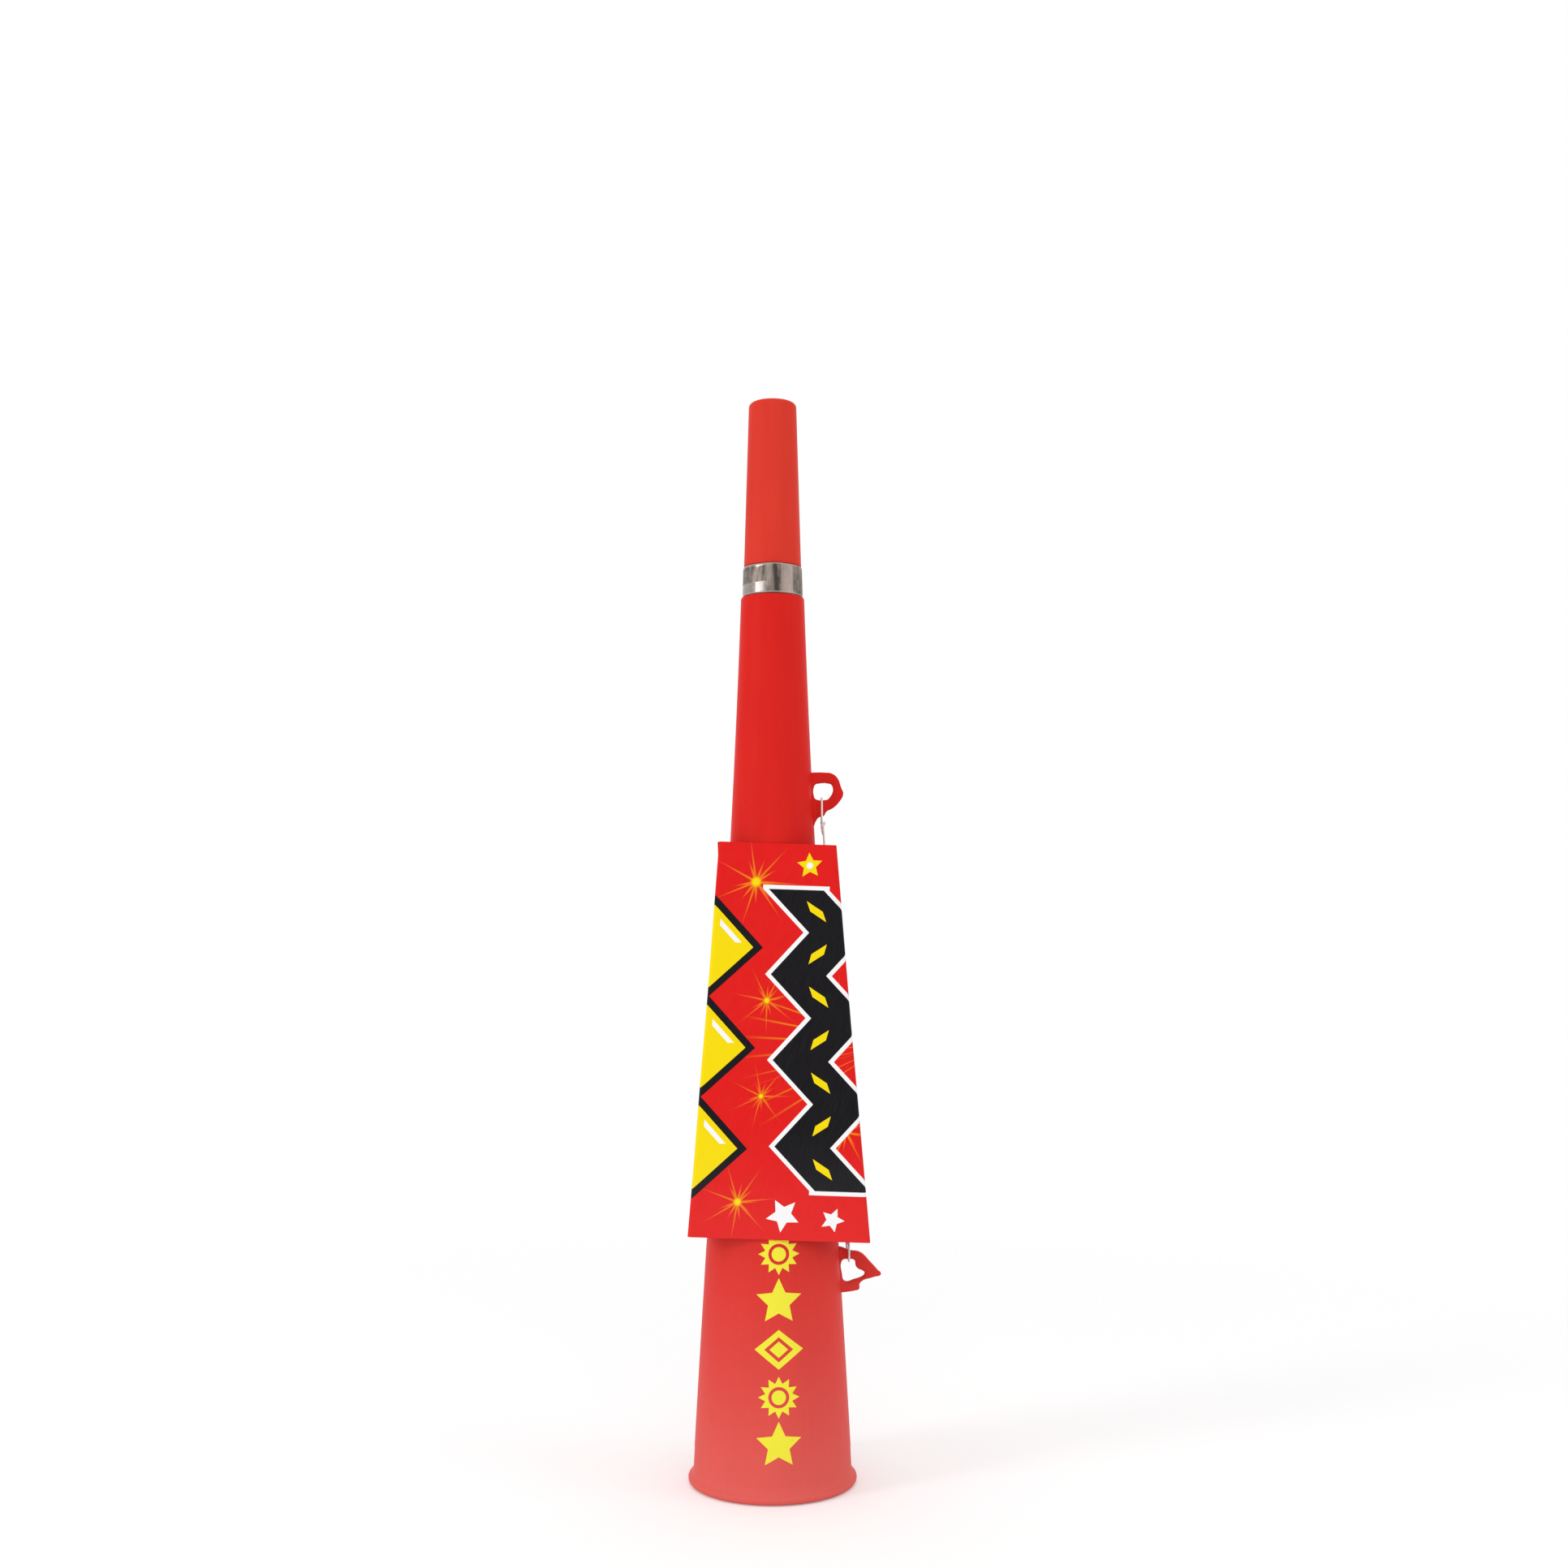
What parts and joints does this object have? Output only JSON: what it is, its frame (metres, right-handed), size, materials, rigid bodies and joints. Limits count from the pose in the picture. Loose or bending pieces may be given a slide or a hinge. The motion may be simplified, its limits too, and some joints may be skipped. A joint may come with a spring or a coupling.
{
  "type": "party reed horn",
  "caption": "Tapered plastic reed horn with a push-on mouthpiece, a metal band, a reed unit, two side loops and a cloth flag wound round it.",
  "frame": {"origin": "centre of the bounding box at the plane of the bell's rim, on which the horn stands", "axes": "+Z along the horn's axis from the bell to the mouthpiece, +X towards the two side loops, -Y towards the flag's flat front"},
  "size_m": [0.0602, 0.0528, 0.3369],
  "materials": {
    "horn_plastic": "moulded red plastic, semi-gloss",
    "mouthpiece_plastic": "moulded orange-red plastic, semi-gloss",
    "tinplate": "scuffed rolled tinplate",
    "reed_plastic": "moulded off-white plastic",
    "reed_brass": "thin rolled brass",
    "printed_cloth": "printed thin polyester cloth",
    "white_cloth": "unprinted thin polyester cloth",
    "white_string": "twisted white string",
    "rod_plastic": "extruded white plastic"
  },
  "bodies": {
    "horn": {"horn_body": "horn_plastic", "flag": "printed_cloth", "flag_sleeve": "white_cloth", "flag_rod": "rod_plastic", "tie_string": "white_string"},
    "reed_unit": {"reed_holder": "reed_plastic", "ferrule_band": "tinplate", "reed_shallot": "reed_plastic", "reed_clamp": "reed_plastic"},
    "mouthpiece": {"mouthpiece": "mouthpiece_plastic"},
    "tongue": {"reed_tongue": "reed_brass"},
    "flag_tail": {"flag_free_end": "printed_cloth"}
  },
  "joints": [
    {"name": "reed_unit_pull", "type": "slide", "parent": "horn", "child": "reed_unit", "axis": [0, 0, 1], "range_m": [0, 0.03]},
    {"name": "mouthpiece_pull", "type": "slide", "parent": "reed_unit", "child": "mouthpiece", "axis": [0, 0, 1], "range_m": [0, 0.045]},
    {"name": "reed_flex", "type": "hinge", "parent": "reed_unit", "child": "tongue", "pos_m": [-0.00378, -0.00162, 0.2856], "axis": [1, 0, 0], "range_deg": [-1.2, 2], "stiffness_Nm_per_rad": 0.002},
    {"name": "flag_peel", "type": "hinge", "parent": "horn", "child": "flag_tail", "pos_m": [0.01872, 0.00099, 0.1387], "axis": [0.0591, 0, -0.9983], "range_deg": [0, 100]}
  ]
}
